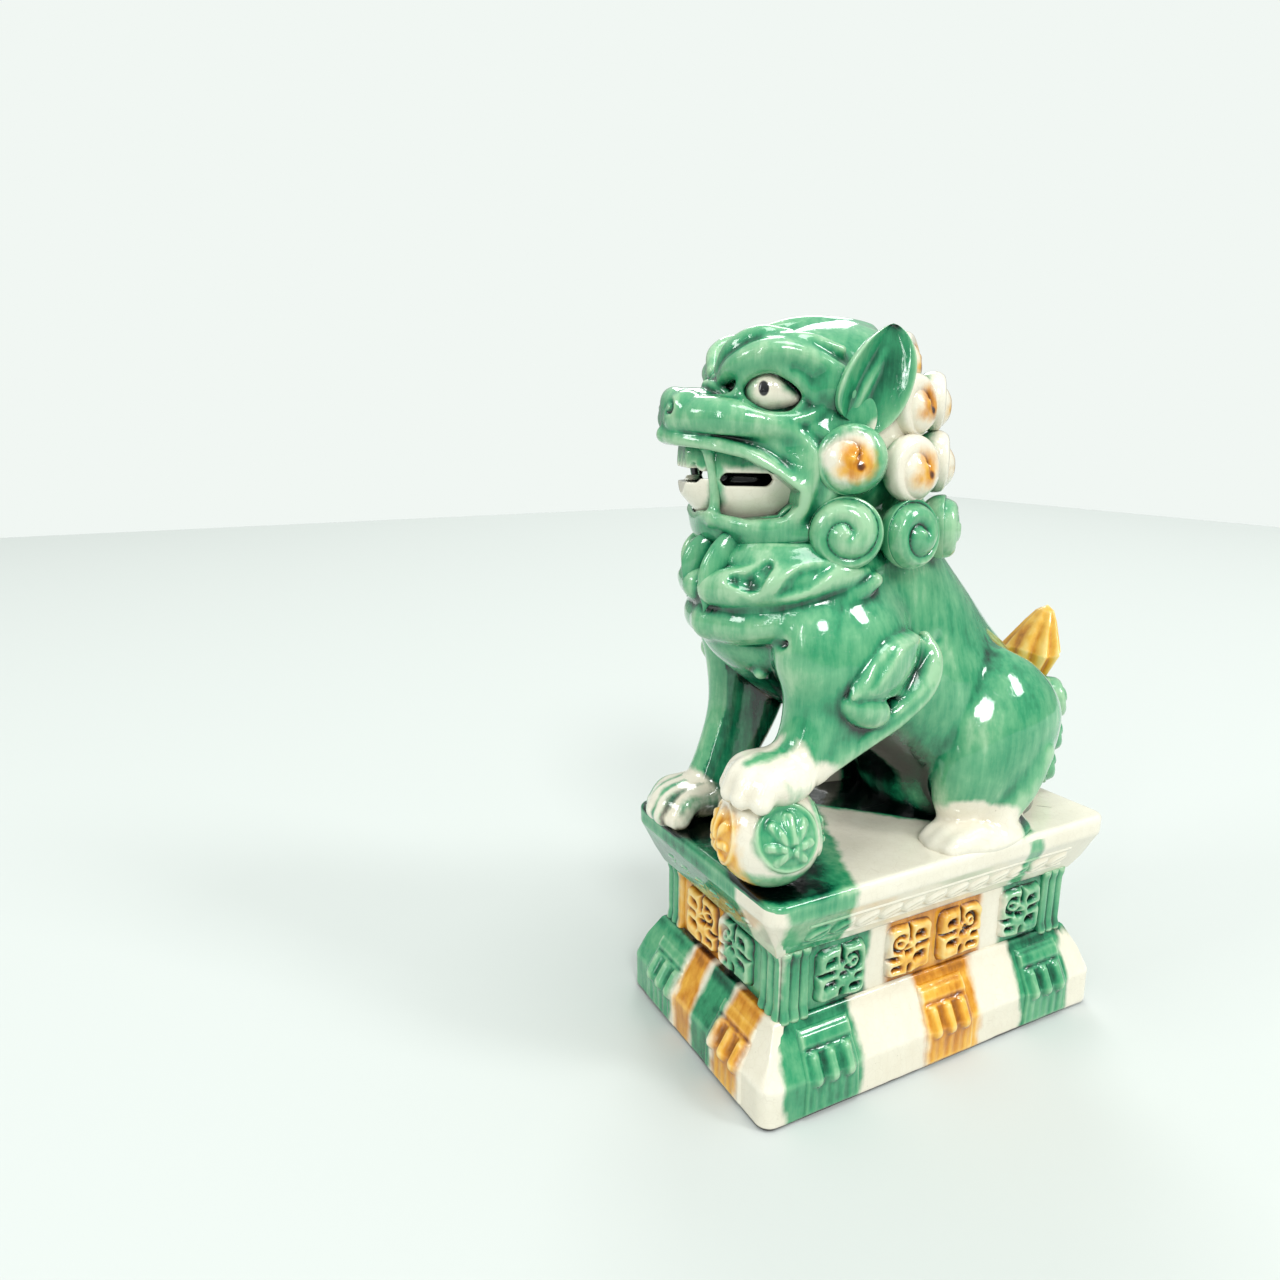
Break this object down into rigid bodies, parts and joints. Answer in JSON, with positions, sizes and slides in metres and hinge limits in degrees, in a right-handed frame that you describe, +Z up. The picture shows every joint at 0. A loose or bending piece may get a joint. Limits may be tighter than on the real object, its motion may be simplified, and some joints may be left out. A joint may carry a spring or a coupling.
{
  "type": "foo dog statue",
  "caption": "Seated guardian lion in three-colour glazed stoneware, forepaw on a brocade ball, on a waisted rectangular plinth.",
  "frame": {"origin": "middle of the plinth's underside", "axes": "+Z up, the lion faces -Y, +X is the lion's left"},
  "size_m": [0.1002, 0.1741, 0.2624],
  "materials": {
    "green_glaze": "very glossy copper-green lead glaze, near black where it pools",
    "cream_glaze": "glossy straw-cream clear glaze over pale clay, finely crazed",
    "amber_glaze": "glossy amber-brown iron glaze, run and pooled"
  },
  "bodies": {
    "root": {"back_frets": "amber_glaze", "back_left_pilaster": "green_glaze", "back_right_pilaster": "green_glaze", "back_tassels": "green_glaze", "beard": "green_glaze", "brocade_ball": "green_glaze", "collar": "green_glaze", "collar_bell": "green_glaze", "front_frets": "amber_glaze", "front_left_pilaster": "green_glaze", "front_right_pilaster": "green_glaze", "front_tassels": "green_glaze", "head": "green_glaze", "left_brow": "green_glaze", "left_cheek_curl": "cream_glaze", "left_crown_curls": "cream_glaze", "left_ear": "green_glaze", "left_elbow_scroll": "green_glaze", "left_eye": "cream_glaze", "left_foreleg": "green_glaze", "left_forepaw": "green_glaze", "left_frets": "amber_glaze", "left_haunch": "green_glaze", "left_hind_paw": "green_glaze", "left_jaw_curl": "green_glaze", "left_middle_curls": "cream_glaze", "left_nape_curl": "green_glaze", "left_neck_curl": "green_glaze", "left_tail_curls": "green_glaze", "left_tassels": "green_glaze", "lower_jaw": "green_glaze", "lower_teeth": "cream_glaze", "nose": "green_glaze", "plinth_foot": "cream_glaze", "plinth_slab": "cream_glaze", "plinth_waist": "cream_glaze", "right_brow": "green_glaze", "right_cheek_curl": "cream_glaze", "right_crown_curls": "cream_glaze", "right_ear": "green_glaze", "right_elbow_scroll": "green_glaze", "right_eye": "cream_glaze", "right_foreleg": "green_glaze", "right_forepaw": "green_glaze", "right_frets": "amber_glaze", "right_haunch": "green_glaze", "right_hind_paw": "green_glaze", "right_jaw_curl": "green_glaze", "right_middle_curls": "cream_glaze", "right_nape_curl": "green_glaze", "right_neck_curl": "green_glaze", "right_tail_curls": "green_glaze", "right_tassels": "green_glaze", "slab_leaves": "cream_glaze", "tail_flame": "amber_glaze", "torso": "green_glaze", "upper_teeth": "cream_glaze"}
  },
  "joints": []
}
